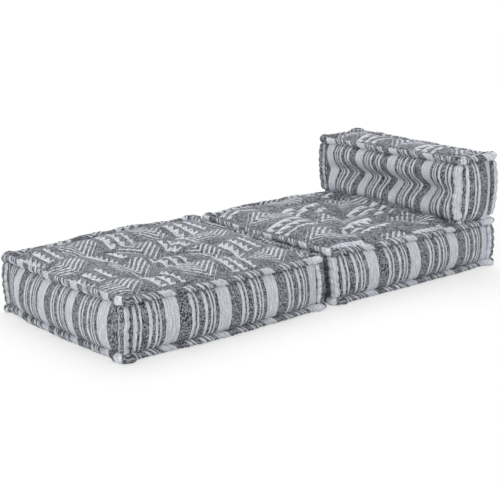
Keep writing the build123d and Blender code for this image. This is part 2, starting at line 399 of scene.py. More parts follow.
def lay_weave(piece, weave):
    """Keeps where each corner of each face was on the flat cloth as the piece's own map."""
    maps = piece.data.uv_layers
    layer = maps.active or maps.new()
    layer.name = "weave"
    layer.data.foreach_set("uv", weave.ravel())


def weave_map(piece, u, v):
    """Lays the weave from the place of each vertex."""
    corners = corners_of(piece)
    lay_weave(piece, np.stack([u[corners], v[corners]], 1))


def pattern_place(cushion, x, y):
    """Where a point of a cushion's top lies in the pattern, in cells."""
    cell = CELLS[cushion.name]
    (start_x, start_y), (wide, tall) = cell["start"], cell["size"]
    if cell["turned"]:
        return (start_y - y) / wide, (x - start_x) / tall
    return (x - start_x) / wide, (y - start_y) / tall


def flat_panel(columns, rows):
    """A flat grid, from 0 to 1 both ways, and the shares of its points."""
    grid = bpy.ops.mesh.primitive_grid_add
    panel = primitive(grid, x_subdivisions=columns, y_subdivisions=rows, size=1)
    shares = points_of(panel)[:, :2] + 0.5
    return panel, shares[:, 0], shares[:, 1]


def apply(piece, kind, **settings):
    """Adds a modifier and applies it."""
    bpy.context.view_layer.objects.active = piece
    modifier = piece.modifiers.new(kind, kind)
    for key, value in settings.items():
        setattr(modifier, key, value)
    bpy.ops.object.modifier_apply(modifier=modifier.name)


for cushion in CUSHIONS:
    node = f"{cushion.name}_bottom_cloth"
    low, high = (np.array(corner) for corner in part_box(node))
    width, length = high[:2] - low[:2]
    panel, a, b = flat_panel(int(width / BOTTOM_GRID), int(length / BOTTOM_GRID))
    x, y = low[0] + a * width, low[1] + b * length
    weave_map(panel, *pattern_place(cushion, x, y))
    level = np.full_like(x, low[2] + CLOTH_LIFT)
    place(panel, cushion.settle(np.stack([x, y, level], 1)))
    apply(panel, "SOLIDIFY", thickness=CLOTH_THICKNESS, offset=1)
    fit_out(panel, cushion, node, "patterned_cloth", jacquard)


# Wall pads
# Each side is a band of striped cloth over wadding, sewn in under the rolled edges, so it bulges
# between its four seams and puckers along them. The backrest's long walls are pulled in by tufts.
ROLL = 13.5 * MM  # radius of a rolled edge
POST = 12 * MM  # radius of a corner roll
POST_INSET = 17.9 * MM  # its middle, inside the rolled edge's outer line
SEAM_INSET = 10 * MM  # a wall's stitched line, inside the rolled edge's outer line
# A wall's lower and upper seams, in roll radii from the outer lines of the rolled edges. The
# backrest's walls sag over its lower roll.
SEAM_LOW, SEAM_HIGH = {"ottoman": 1.1, "seat": 1.1, "backrest": 0.8}, 1.25
WALL_GRID = 5 * MM
WALL_DEPTH = 8 * MM  # of cloth and wadding
WALL_CLEAR = 3 * MM  # a wall ends this far beyond a corner roll's middle
WALL_ROUNDNESS = 2.3  # of the bulge from seam to seam
GROOVE, GROOVE_WIDTH = 5 * MM, 6 * MM  # the cloth dips where it goes in under a roll
# The corner rolls hold a wall in at its ends: how firmly, how far along, and for a short wall how far
# as a share of its length
END_HOLD, END_REACH, END_REACH_SHARE = 0.8, 45 * MM, 0.15
PUCKER, PUCKER_LONG, PUCKER_TALL = 3.4 * MM, 18 * MM, 90 * MM  # depth, along a seam and away from it
PUCKER_REACH = 20 * MM  # from a seam
WALL_LUMP, WALL_LUMP_PACE = 2.5, 16  # in mm, and waves to a metre
# The fold along the middle of the backrest's long walls, which is deeper at its three tufts
TUFT_ROW = 147 * MM  # from tuft to tuft
TUFT_REACH = 34 * MM
FOLD_DEPTH, FOLD_AT_TUFT = 18, 16  # in millimetres, and how much more at a tuft
FOLD_LOST = 0.75  # share of the depth that is lost at the wall's ends
FOLD_WIDTH = 0.16  # share of the wall's height
LOBE_ROUNDNESS, LOBE_LIFT = 0.75, 0.25  # the cloth above and below the fold, and its share in the fold

# One repeat of the stripes, as shares of its width: where each begins and how light it is
STRIPES = (
    (0.0, 0.0), (0.219, 1.0), (0.274, 0.0), (0.313, 0.95), (0.351, 0.0), (0.468, 1.0),
    (0.522, 0.0), (0.579, 1.0), (0.614, 0.0), (0.646, 0.95), (0.678, 0.0), (0.754, 0.95),
    (0.800, 0.62), (0.812, 1.0), (0.858, 0.66), (0.870, 0.97), (0.915, 0.66), (0.927, 1.0),
)
STRIPE_LENGTH = 160 * MM  # of cloth along the stripes to one unit of the map
STRIPE_DRIFT, STRIPE_FRAY = 0.028, 0.010  # how far the edges of the stripes stray, in repeats
YARN_DARK, YARN_MID = shade(12, 15, 24), shade(172, 175, 183)
PALE_DULL, PALE_BRIGHT = shade(178, 182, 191), shade(240, 243, 250)
WALL_MOST_WORN = 0.14

striped = Finish("striped_cloth")
# The map is in repeats of the stripes, both ways
repeats = striped.node("UVMap", {"uv_map": "weave"}, {})
over = striped.node("SeparateXYZ", {}, {0: repeats}, "X")
up = striped.node("SeparateXYZ", {}, {0: repeats}, "Y")
drift = (striped.noise(repeats, 8) - 0.5) * STRIPE_DRIFT
drift = drift + (striped.noise(repeats, 60, detail=1) - 0.5) * STRIPE_FRAY
band = striped.node("ValToRGB", {"stops": STRIPES}, {0: (over + drift).math("FRACT")})
band = striped.node("SeparateXYZ", {}, {0: band}, "X")
yarn = striped.noise(striped.vector(over * 52, up * 42), 1, roughness=0.6)
dashes = striped.dashes(over + drift * 0.4, up, yarns=64, floats=52)
melange = striped.clamped(dashes + (yarn - 0.5) * 0.6, 0.25, 0.95)
ribs = striped.clamped(striped.noise(striped.vector(over * 90, up * 6), 1), 0.32, 0.6)
speckle = striped.clamped(striped.dashes(over + drift * 0.4, up, yarns=75, floats=60), -0.3, 0.5)
dark_yarn = striped.mix(melange, YARN_DARK, YARN_MID)
pale_yarn = striped.mix(ribs * speckle, PALE_DULL, PALE_BRIGHT)
wear = striped.clamped(striped.noise(repeats, 1.6, detail=3), 0.4, 0.75) * WALL_MOST_WORN
striped.close(
    colour=striped.mix(wear, striped.mix(band, dark_yarn, pale_yarn), WORN),
    roughness=striped.clamped(yarn, -3.5, 1.4),
    height=yarn * 1.2 + dashes * 0.35 + ribs * 0.5 + band * 0.4,
    depth=WEAVE_BUMP,
)
striped.shader.inputs["Sheen Weight"].default_value = CLOTH_SHEEN

# Each side seen from outside, left to right: the repeat's width, which is negative where the stripes
# run the other way, and where a dark band begins, from the corner, in millimetres
STRIPE_RUN = {
    ("ottoman", LEFT): (168, -6), ("ottoman", REAR): (160, 20),
    ("ottoman", RIGHT): (167, 40), ("ottoman", FRONT): (137, -18),
    ("seat", LEFT): (168, -6), ("seat", REAR): (160, 70),
    ("seat", RIGHT): (167, 10), ("seat", FRONT): (150, 40),
    ("backrest", FRONT): (-139, 37), ("backrest", LEFT): (-160, 116),
    ("backrest", REAR): (150, 30), ("backrest", RIGHT): (150, 60),
}
# Direction of each side's run, anticlockwise seen from above
RUN = {LEFT: (1, 0), REAR: (0, 1), RIGHT: (-1, 0), FRONT: (0, -1)}
SIDES = tuple(RUN)


def side_line(cushion, side):
    """Start of a side's run at the outer line, its direction, its outward direction and length."""
    run = np.array(RUN[side], float)
    out = np.array([run[1], -run[0]])
    low, high = cushion.low[:2], cushion.high[:2]
    middle, half = (low + high) / 2, (high - low) / 2
    start = middle + half * (out - run)
    return start, run, out, 2 * abs(half @ run)


def stripe_place(cushion, side, along):
    width, start = STRIPE_RUN[cushion.name, side]
    return (along / MM - start) / width


def bell(distance, width, power=2.0):
    return np.exp(-((np.abs(distance) / width) ** power))


def unevenness(x, y, z):
    """Smooth noise at each place, the same in every run."""
    return np.array([noise.noise(Vector(spot)) for spot in np.column_stack(np.broadcast_arrays(x, y, z))])


def puckers(cushion, side, along, height):
    """Small gathers that the hand stitches pull into the cloth beside a seam."""
    seed = 7.3 * SIDES.index(side) + cushion.seed[0]
    return unevenness(along / PUCKER_LONG, height / PUCKER_TALL, seed) * PUCKER


def wall_form(cushion, side, along, height, tall, length):
    """How far a wall stands out from its seams."""
    share = height / tall
    bulge = cushion.bulges[side] * MM + SEAM_INSET
    ends = np.maximum(np.minimum(along, length - along) - POST_INSET, 0)
    shut = 1 - bell(ends, min(END_REACH, END_REACH_SHARE * length), power=1.3) * END_HOLD
    round_up = 1 - np.abs(2 * share - 1) ** WALL_ROUNDNESS
    out = bulge * shut * round_up
    if cushion is BACKREST and side in (FRONT, REAR):
        middle = along - length / 2
        near_tuft = sum(bell(middle - k * TUFT_ROW, TUFT_REACH, power=1.5) for k in (-1, 0, 1))
        outermost = np.clip((np.abs(middle) - TUFT_ROW) / (length / 2 - TUFT_ROW), 0, 1)
        depth = (FOLD_DEPTH + FOLD_AT_TUFT * np.minimum(near_tuft, 1)) * (1 - FOLD_LOST * outermost**1.3) * MM
        lobes = bulge * shut * np.abs(np.sin(2 * pi * share)) ** LOBE_ROUNDNESS
        fold = bell(share - 0.5, FOLD_WIDTH, power=1.25)
        out = lobes * (1 - fold) + round_up * bulge * LOBE_LIFT - depth * fold
    edge = np.minimum(height, tall - height)
    out = out + puckers(cushion, side, along, height) * (0.3 + 1.2 * bell(edge, PUCKER_REACH))
    lumps = unevenness(along * WALL_LUMP_PACE, height * WALL_LUMP_PACE, cushion.seed[1])
    return out + lumps * WALL_LUMP * MM * round_up - GROOVE * bell(edge, GROOVE_WIDTH)


def soften(piece):
    apply(piece, "SUBSURF", levels=1, render_levels=1)


for cushion in CUSHIONS:
    bottom = cushion.low[2] + SEAM_LOW[cushion.name] * ROLL
    top = cushion.high[2] - SEAM_HIGH * ROLL
    for side in SIDES:
        start, run, out, length = side_line(cushion, side)
        first = POST_INSET + WALL_CLEAR
        seen = length - 2 * first
        panel, a, b = flat_panel(int(seen / WALL_GRID), int((top - bottom) / WALL_GRID))
        along, height = first + a * seen, b * (top - bottom)
        stand = wall_form(cushion, side, along, height, top - bottom, length)
        weave_map(panel, stripe_place(cushion, side, along), height / STRIPE_LENGTH)
        flat = start + np.outer(along, run)
        front = flat + np.outer(stand - SEAM_INSET, out)
        place(panel, np.column_stack([front, bottom + height]))
        apply(panel, "SOLIDIFY", thickness=WALL_DEPTH, offset=-1)
        # The wadding's back is flat, behind the deepest point of the cloth
        points = points_of(panel)
        deepest = stand.min() - SEAM_INSET - WALL_DEPTH
        points[len(a):] = np.column_stack([flat + deepest * out, bottom + height])
        place(panel, cushion.settle(points))
        soften(panel)
        fit_out(panel, cushion, f"{cushion.name}_{side}_wall_pad", "striped_cloth", striped)


# Top pads
# The top is patterned cloth quilted to wadding. It crowns between its seams and is pulled in where
# the tufting twine holds it. The cloth is simulated: it has a little to spare, is held at the seams
# and tufts, and the stuffing presses it up into soft hills with creases that run to the tufts.
PAD_GRID = 7 * MM
PAD_INSET = 21 * MM
PAD_DEPTH = 12 * MM
PAD_SEAM = 11 * MM  # below the top of the rolled edge
# Tufts of a seat cushion, from its middle: along the sofa and across it
TUFTS = {
    "ottoman": [(0, 0)] + [(p, q) for p in (-0.158, 0.158) for q in (-0.128, 0.128)],
    "seat": [(-0.020, 0)] + [(p - 0.020, q) for p in (-0.135, 0.135) for q in (-0.150, 0.150)],
    "backrest": [],
}
CROWN = {"ottoman": 21, "seat": 27, "backrest": 12}  # over the seam, in millimetres
CROWN_REACH = 110 * MM  # from the seam to the full height
CROWN_ROUNDNESS = 2.3
TUFT_DEPTH = {"ottoman": 7, "seat": 5, "backrest": 0}  # under the seam, in millimetres
TUFT_WIDTH, TUFT_HELD = 46 * MM, 9 * MM  # of the hollow, and of the cloth that the twine holds
CREASE_DEPTH, CREASE_WIDTH = 17 * MM, 27 * MM
PAD_LUMP, PAD_LUMP_PACE = 4, 11  # in mm, and waves to a metre
RISE_CAP = 7 * MM  # the cloth rises no further in the simulation
PRESSED_FROM = 0.548  # the backrest stands on the seat from here
PRESSED_EASE, PRESSED_LEVEL = 35 * MM, 1 * MM  # the pad comes down over this length, to this level
PUSHED_UP, PUSHED_AHEAD, PUSHED_WIDTH = 15 * MM, 30 * MM, 38 * MM  # stuffing in front of the backrest


def to_segment(x, y, start, end):
    """Distance of points from a straight line between two tufts."""
    (ax, ay), (bx, by) = start, end
    reach = (bx - ax) ** 2 + (by - ay) ** 2
    share = np.clip(((x - ax) * (bx - ax) + (y - ay) * (by - ay)) / reach, 0, 1)
    return np.hypot(x - ax - share * (bx - ax), y - ay - share * (by - ay))


def pad_form(cushion, x, y, tufts):
    """Height of the wadded top over its seams, before the cloth is pressed up."""
    low, high = cushion.low, cushion.high
    edge = np.minimum(np.minimum(x - low[0], high[0] - x), np.minimum(y - low[1], high[1] - y)) - PAD_INSET
    short = min(high[0] - low[0], high[1] - low[1]) / 2 - PAD_INSET
    near_edge = np.clip(edge / min(CROWN_REACH, short), 0, 1)
    crown = CROWN[cushion.name] * MM
    height = crown * (1 - (1 - near_edge) ** CROWN_ROUNDNESS)
    if tufts:
        ring = [tufts[1], tufts[2], tufts[4], tufts[3]]
        pairs = [(tufts[0], t) for t in tufts[1:]] + list(zip(ring, ring[1:] + ring[:1]))
        crease = np.max([bell(to_segment(x, y, *pair), CREASE_WIDTH, power=1.5) for pair in pairs], axis=0)
        pull = np.max([bell(np.hypot(x - p, y - q), TUFT_WIDTH, power=1.1) for p, q in tufts], axis=0)
        height -= np.maximum(CREASE_DEPTH * crease, (crown + TUFT_DEPTH[cushion.name] * MM) * pull)
    if cushion is SEAT:
        free = np.clip((PRESSED_FROM - x) / PRESSED_EASE, 0, 1) ** 0.5
        ahead = bell(x - PRESSED_FROM + PUSHED_AHEAD, PUSHED_WIDTH)
        height = (height + PUSHED_UP * ahead * np.minimum(near_edge * 2, 1)) * free + PRESSED_LEVEL
    lumps = unevenness(x * PAD_LUMP_PACE, y * PAD_LUMP_PACE, cushion.seed[2])
    return height + lumps * PAD_LUMP * MM * near_edge


def press_up(pad, held, frames, pressure, spare):
    """Simulates the cover: held where the weight is 1, with spare cloth, pressed from below."""
    group = pad.vertex_groups.new(name="held")
    for weight in np.unique(held):
        group.add(np.flatnonzero(held == weight).tolist(), float(weight), "REPLACE")
    cloth = pad.modifiers.new("press", "CLOTH")
    cover = cloth.settings
    cover.vertex_group_mass = "held"
    cover.pin_stiffness = 2.0
    cover.quality = 6
    cover.mass = 0.3
    cover.tension_stiffness = cover.compression_stiffness = 12
    cover.bending_stiffness = 0.25
    cover.shrink_min = -spare
    cover.use_pressure = True
    cover.uniform_pressure_force = pressure
    cover.effector_weights.gravity = 0
    cloth.point_cache.frame_end = frames
    for step in range(1, frames + 1):
        bpy.context.scene.frame_set(step)
    bpy.context.view_layer.objects.active = pad
    bpy.ops.object.modifier_apply(modifier=cloth.name)
    bpy.context.scene.frame_set(1)


for cushion in CUSHIONS:
    low, high = cushion.low, cushion.high
    middle = (low + high) / 2
    width, length = high[:2] - low[:2] - 2 * PAD_INSET
    pad, a, b = flat_panel(int(width / PAD_GRID), int(length / PAD_GRID))
    x, y = low[0] + PAD_INSET + a * width, low[1] + PAD_INSET + b * length
    tufts = [(middle[0] + p, middle[1] + q) for p, q in TUFTS[cushion.name]]
    weave_map(pad, *pattern_place(cushion, x, y))
    seam = high[2] - PAD_SEAM
    form = np.column_stack([x, y, seam + pad_form(cushion, x, y, tufts)])
    place(pad, form)
    held = ((a < 1e-4) | (a > 1 - 1e-4) | (b < 1e-4) | (b > 1 - 1e-4)).astype(float)
    for p, q in tufts:
        held[np.hypot(x - p, y - q) < TUFT_HELD] = 1.0
    if cushion is SEAT:
        held[x > PRESSED_FROM] = 1.0
    press_up(pad, held, frames=14, pressure=1.2, spare=0.05)
    moved = points_of(pad) - form
    form = form + RISE_CAP * np.tanh(moved / RISE_CAP)
    place(pad, form)
    apply(pad, "SOLIDIFY", thickness=PAD_DEPTH, offset=-1)
    # The wadding's underside is flat, below the deepest tuft
    points = points_of(pad)
    underside = np.full_like(x, seam - TUFT_DEPTH[cushion.name] * MM - PAD_DEPTH)
    points[len(a):] = np.column_stack([x, y, underside])
    place(pad, cushion.settle(points))
    soften(pad)
    fit_out(pad, cushion, f"{cushion.name}_top_pad", "patterned_cloth", jacquard)


# Rolled edges
# Along every edge a stuffed roll is sewn by hand: top and wall cloth are pinched together over a
# twist of cotton with slanting stitches, so the roll looks like a soft rope. Its outer half is the
# wall's striped cloth and its inner half is the patterned cloth of the top or bottom.
ROLL_SIDES = 14
ROLL_STEP = 3.2 * MM
ROLL_TWIST = 0.7  # how far the stripes slant round a roll
ROLL_SLANT = 0.7  # how far the stitches slant, in roll radii
CORNER_TURN = 9 * MM
EAR = 12.5 * MM  # the roll stands out at the corners, where four seams meet
EAR_REACH = 22 * MM
EAR_RISE = 3 * MM
OUTER_FROM, OUTER_TO = radians(78), radians(125)  # where the stripes end, above and below
STITCH_STEP = (10, 18)  # least and most between the pinches, in millimetres
PINCH_WIDTH = 2.8 * MM
# A roll's thickness, as shares of its radius: plain, lost at a pinch, and added by lumps and ears
FULL, PINCHED, LUMPY, EARED = 0.84, 0.32, 0.14, 0.16
ROLL_LUMP_PACE = 26  # waves to a metre
ROLL_SWAY, ROLL_SWAY_PACE = 2.6, 11  # in mm, and waves to a metre
# How a roll lies: its width to its height, how far it is drawn in and how far it is raised. The lower
# rolls of the seat modules are squashed wide by the weight on them, and the backrest's is drawn in
# under its walls.
LIE = {"top_roll": (1.1, -1.5 * MM, 3.5 * MM), "bottom_roll": (1.45, -1.5 * MM, -3.5 * MM)}
BACKREST_LIE = {"top_roll": (1.0, 0, 3.5 * MM), "bottom_roll": (0.8, 9 * MM, -3.5 * MM)}


def outline(cushion, count):
    """Even steps along a rolled edge's centre line, from the front left corner.
    Gives each step's point, outward direction, side, place along that side and share of an ear."""
    inset = ROLL + CORNER_TURN
    arc = CORNER_TURN * pi / 2
    legs = []
    for k, side in enumerate(SIDES):
        start, run, out, length = side_line(cushion, side)
        legs.append((start, run, out, length - 2 * inset, side, SIDES[(k + 1) % 4]))
    total = sum(leg[3] for leg in legs) + 4 * arc
    steps = []
    for travelled in np.arange(count) * total / count:
        for start, run, out, straight, side, following in legs:
            if travelled < straight:
                point = start + run * (inset + travelled) - out * ROLL
                near = min(travelled, straight - travelled) + arc / 2
                steps.append((point, out, side, inset + travelled, bell(near, EAR_REACH)))
                break
            travelled -= straight
            if travelled < arc:
                angle = travelled / CORNER_TURN
                centre = start + run * (inset + straight) - out * inset
                facing = out * cos(angle) + run * sin(angle)
                turned = angle > pi / 4
                spot = inset - (arc - travelled) if turned else inset + straight + travelled
                ear = bell(travelled - arc / 2, EAR_REACH)
                nearer = following if turned else side
                steps.append((centre + facing * CORNER_TURN, facing, nearer, spot, ear))
                break
            travelled -= arc
    return steps, total


def pinches(total, seed):
    """Uneven places of the slanting stitches along a roll."""
    draw = np.random.default_rng(seed)
    places = np.cumsum(draw.uniform(*STITCH_STEP, int(total / MM / STITCH_STEP[0]) + 2)) * MM
    return places[places < total - STITCH_STEP[0] * MM]


def close_up(piece):
    """Merges the edges of a rolled grid and turns its faces outwards."""
    select(piece)
    bpy.ops.object.mode_set(mode="EDIT")
    bpy.ops.mesh.select_all(action="SELECT")
    bpy.ops.mesh.remove_doubles(threshold=1e-6)
    bpy.ops.mesh.normals_make_consistent(inside=False)
    bpy.ops.object.mode_set(mode="OBJECT")


def pinch_depth(along, places, width):
    """1 at a pinch, falling to 0 between two of them."""
    after = np.clip(np.searchsorted(places, along), 1, len(places) - 1)
    nearest = np.minimum(np.abs(along - places[after - 1]), np.abs(places[after] - along))
    return bell(nearest, width, power=1.6)


class RolledEdge:
    """The upper or lower rolled edge of a cushion: its line, its pinches and its skin."""

    def __init__(self, cushion, name):
        self.cushion, self.is_top = cushion, name == "top_roll"
        self.level = cushion.high[2] - ROLL if self.is_top else cushion.low[2] + ROLL
        self.count = int(2 * (cushion.high - cushion.low)[:2].sum() / ROLL_STEP)
        self.steps, self.total = outline(cushion, self.count)
        self.seed = int(cushion.seed[0]) + self.is_top
        self.places = pinches(self.total, self.seed)
        lie = BACKREST_LIE if cushion is BACKREST else LIE
        self.wide, self.drawn_in, self.raised = lie[name]

    def slant(self, around):
        """How far the slanting stitches run along the roll at an angle round it."""
        return ROLL_SLANT * ROLL * np.sin(around - pi / 4)

    def at(self, key, along):
        """A value of the steps, between the two nearest ones."""
        values = np.array([step[key] for step in self.steps])
        spot = along * self.count / self.total
        before = np.floor(spot).astype(int)
        share = spot - before if values.ndim == 1 else (spot - before)[:, None]
        return values[before % self.count] * (1 - share) + values[(before + 1) % self.count] * share

    def skin(self, along, around, lift=0.0):
        """Points on the roll, from places along it and angles round it, 0 being outwards."""
        pinched = pinch_depth((along + self.slant(around)) % self.total, self.places, PINCH_WIDTH)
        swell = unevenness(along * ROLL_LUMP_PACE, np.cos(around) * 0.7, np.sin(around) * 0.7 + 3 * self.seed)
        ears = self.at(4, along)
        thick = ROLL * (FULL - PINCHED * pinched + LUMPY * swell + EARED * ears) + lift
        sway = unevenness(along * ROLL_SWAY_PACE, 0, 5 * self.seed) * ROLL_SWAY * MM
        outward = self.wide * thick * np.cos(around) + sway + EAR * ears - self.drawn_in
        height = self.level + thick * np.sin(around) + self.raised
        if self.is_top:
            height = height + sway + EAR_RISE * ears
        flat = self.at(0, along) + self.at(1, along) * outward[:, None]
        settled = self.cushion.settle(np.column_stack([flat, height]))
        if not self.is_top and self.cushion is not BACKREST:
            # The floor flattens it
            settled[:, 2] = np.maximum(settled[:, 2], self.cushion.low[2])
        return settled


for cushion in CUSHIONS:
    for name in ("top_roll", "bottom_roll"):
        edge = RolledEdge(cushion, name)
        count, total, steps = edge.count, edge.total, edge.steps
        roll, a, b = flat_panel(count, ROLL_SIDES)
        station = np.rint(a * count).astype(int)
        place(roll, edge.skin(station % count * total / count, b * 2 * pi))

        # The outer half takes the stripes of the wall that it edges, the inner half the pattern
        corners = corners_of(roll)
        stations, girth = station[corners].reshape(-1, 4), (b[corners] * 2 * pi * ROLL).reshape(-1, 4)
        crest = girth.mean(1) / ROLL
        above, below = (OUTER_FROM, OUTER_TO) if edge.is_top else (OUTER_TO, OUTER_FROM)
        is_outer = (crest < above) | (crest > 2 * pi - below)
        weave = np.empty((len(stations), 4, 2))
        for face in range(len(stations)):
            start_point, start_facing, side, spot, ear = steps[stations[face].min()]
            offsets = (stations[face] - stations[face].min()) * total / count
            if is_outer[face]:
                slope = ROLL_TWIST * (1 - ear)
                twist = slope * (girth[face] - 2 * pi * ROLL * (crest[face] > pi))
                weave[face, :, 0] = stripe_place(cushion, side, spot + offsets + twist)
                weave[face, :, 1] = girth[face] / STRIPE_LENGTH
            else:
                inner = start_point - start_facing * (girth[face] - ROLL)[:, None]
                inner = inner + np.outer(offsets, RUN[side])
                weave[face, :, 0], weave[face, :, 1] = pattern_place(cushion, inner[:, 0], inner[:, 1])
        lay_weave(roll, weave)
        roll.data.materials.append(striped.material)
        roll.data.materials.append(jacquard.material)
        roll.data.polygons.foreach_set("material_index", np.where(is_outer, 0, 1))
        close_up(roll)
        soften(roll)
        fit_out(roll, cushion, f"{cushion.name}_{name}", "striped_cloth")


# Corner rolls
# The upright seams between two walls are rolled and stitched in the same way, between the upper
# and the lower rolled edge. Their stripes run up them, with edges that the stitches make wavy.
CORNERS = {(FRONT, LEFT): (-1, -1), (FRONT, RIGHT): (-1, 1), (REAR, LEFT): (1, -1), (REAR, RIGHT): (1, 1)}
# Place in the stripes at the outermost line of each corner roll, and of those that hardly show
CORNER_STRIPES = {
    ("ottoman", FRONT, LEFT): 0.745, ("ottoman", REAR, LEFT): 0.10, ("ottoman", FRONT, RIGHT): 0.12,
    ("seat", FRONT, LEFT): 0.87, ("seat", REAR, LEFT): 0.10,
    ("backrest", FRONT, LEFT): 0.87, ("backrest", REAR, LEFT): 0.87, ("backrest", FRONT, RIGHT): 0.11,
}
HIDDEN_CORNER = 0.3
POST_RINGS, POST_SIDES = 44, 18
POST_ENDS = 1.3  # in roll radii inside the outer lines of the rolled edges
POST_PROUD = 8 * MM  # of the walls' meeting line
POST_BOW = 5 * MM  # the stuffing pushes the corners out between the rolled edges
POST_SLANT = 0.5  # of its stitches, in its own radii
POST_FULL, POST_PINCHED, POST_LUMPY = 1.2, 0.30, 0.16  # its thickness, as for a rolled edge
POST_LUMP_PACE = 30
POST_PINCH_WIDTH = 5 * MM
POST_PINCH_SPREAD = 1.7  # its pinches are this much further apart
POST_FIRST_PINCH, POST_SPARE = 10 * MM, 60 * MM  # the pinches start below its end and go on above it
POST_SWAY, POST_SWAY_PACE = 3.4, 24  # in mm, and waves to a metre


class CornerRoll:
    """One upright corner roll: its place, its pinches and its skin."""

    def __init__(self, cushion, toward):
        self.cushion, self.toward = cushion, np.array(toward)
        self.bottom, self.top = cushion.low[2] + POST_ENDS * ROLL, cushion.high[2] - POST_ENDS * ROLL
        self.facing = np.arctan2(toward[1], toward[0])
        self.seed = int(cushion.seed[0]) * 3 + toward[0] + 2 * toward[1]
        reach = self.top - self.bottom + POST_SPARE
        self.places = self.bottom + (pinches(reach, self.seed) - POST_FIRST_PINCH) * POST_PINCH_SPREAD
        corner = np.where(self.toward < 0, cushion.low[:2], cushion.high[:2])
        self.middle = corner - self.toward * (POST_INSET - POST_PROUD)

    def slant(self, turn):
        return POST_SLANT * POST * np.sin(turn)

    def skin(self, height, turn, lift=0.0):
        """Points on the roll, from heights and angles round it, 0 being outermost."""
        pinched = pinch_depth(height + self.slant(turn), self.places, POST_PINCH_WIDTH)
        swell = unevenness(height * POST_LUMP_PACE, np.cos(turn), np.sin(turn) + self.seed)
        climb = np.clip((height - self.bottom) / (self.top - self.bottom), 0, 1)
        ends = np.minimum(1, np.sin(climb * pi) * 6) ** 0.5
        thick = POST * (POST_FULL - POST_PINCHED * pinched + POST_LUMPY * swell) * ends + lift
        sway = unevenness(height * POST_SWAY_PACE, 1, self.seed) * POST_SWAY * MM
        around = self.facing + turn
        bow = POST_BOW * np.sin(pi * climb)
        x = self.middle[0] + thick * np.cos(around) + sway * self.toward[1] + bow * self.toward[0]
        y = self.middle[1] + thick * np.sin(around) - sway * self.toward[0] + bow * self.toward[1]
        return self.cushion.settle(np.column_stack([x, y, height]))


for cushion in CUSHIONS:
    for (end, side), toward in CORNERS.items():
        corner_roll = CornerRoll(cushion, toward)
        sphere = bpy.ops.mesh.primitive_uv_sphere_add
        post = primitive(sphere, segments=POST_SIDES, ring_count=POST_RINGS, radius=1)
        unit = points_of(post)
        climb = np.arccos(np.clip(-unit[:, 2], -1, 1)) / pi
        height = corner_roll.bottom + climb * (corner_roll.top - corner_roll.bottom)
        turn = (np.arctan2(unit[:, 1], unit[:, 0]) - corner_roll.facing + pi) % (2 * pi) - pi
        place(post, corner_roll.skin(height, turn))

        # A face that lies across the half turn takes all its angles from one side of it
        corners = corners_of(post)
        angle = turn[corners]
        for face in post.data.polygons:
            loops = list(face.loop_indices)
            if np.ptp(angle[loops]) > pi:
                angle[loops] = np.where(angle[loops] < 0, angle[loops] + 2 * pi, angle[loops])
        shown = CORNER_STRIPES.get((cushion.name, end, side), HIDDEN_CORNER)
        lay_weave(post, np.stack([shown + angle * POST / STRIPE_LENGTH, height[corners] / STRIPE_LENGTH], 1))
        soften(post)
        fit_out(post, cushion, f"{cushion.name}_{end}_{side}_corner_roll", "striped_cloth", striped)


# Hand stitches
# Every roll is closed by hand with waxed cotton twine. Each stitch shows as a short slanting thread
# where it enters the cloth beside the roll, and it pulls a pinch into the roll.
STITCH = 0.75 * MM  # radius
STITCH_PROUD = 0.4  # of the roll, in its own radii
STITCH_STEPS, STITCH_SIDES = 6, 5
STITCH_CLEAR = 8 * MM  # of a corner roll's ends
ASKEW = (0.3, 0.5, 0.2)  # added to a thread's mean direction, for a second one that isn't in line
# Angles round a roll between which its stitches show, in degrees
SEAMS = {"top_roll": ((-85, -22), (92, 150)), "bottom_roll": ((22, 85),), "corner": ((-110, -55), (55, 110))}

waxed = Finish("waxed_twine")
grain = waxed.node("TexCoord", {}, {}, "Object")
ply = waxed.noise(grain, 900)
waxed.close(
    colour=waxed.mix(ply, shade(120, 122, 128), shade(168, 170, 176)),
    roughness=waxed.clamped(ply, -1.2, 1.6),
    height=ply,
    depth=0.3 * MM,
)


def stitch_lines(roll, seams):
    """The line of every stitch on a roll, as points."""
    lines = []
    for start, end in seams:
        turns = np.radians(np.linspace(start, end, STITCH_STEPS + 1))
        spots = roll.places[:, None] - roll.slant(turns)[None, :]
        if isinstance(roll, CornerRoll):
            inside = (roll.places > roll.bottom + STITCH_CLEAR) & (roll.places < roll.top - STITCH_CLEAR)
            spots = spots[inside]
        turns = np.broadcast_to(turns, spots.shape)
        points = roll.skin(spots.ravel(), turns.ravel(), lift=STITCH_PROUD * STITCH)
        lines.append(points.reshape(*spots.shape, 3))
    return np.concatenate(lines)


for cushion in CUSHIONS:
    lines = [stitch_lines(RolledEdge(cushion, name), SEAMS[name]) for name in ("top_roll", "bottom_roll")]
    lines += [stitch_lines(CornerRoll(cushion, toward), SEAMS["corner"]) for toward in CORNERS.values()]
    lines = np.concatenate(lines)
    stitches, a, b = flat_panel(STITCH_STEPS, STITCH_SIDES)
    apply(stitches, "ARRAY", count=len(lines))
    step = np.rint(a * STITCH_STEPS).astype(int)
    run = np.gradient(lines, axis=1)
    run /= np.linalg.norm(run, axis=2, keepdims=True)
    # Two directions square to the thread
    first = np.cross(run, run.mean(1, keepdims=True) + ASKEW)
    first /= np.linalg.norm(first, axis=2, keepdims=True)
    second = np.cross(run, first)
    taper = np.sqrt(np.clip(1 - (2 * a - 1) ** 6, 0, 1)) * STITCH
    offset = first[:, step] * (taper * np.cos(b * 2 * pi))[None, :, None]
    offset += second[:, step] * (taper * np.sin(b * 2 * pi))[None, :, None]
    place(stitches, (lines[:, step] + offset).reshape(-1, 3))
    close_up(stitches)
    fit_out(stitches, cushion, f"{cushion.name}_hand_stitch", "twine", waxed)


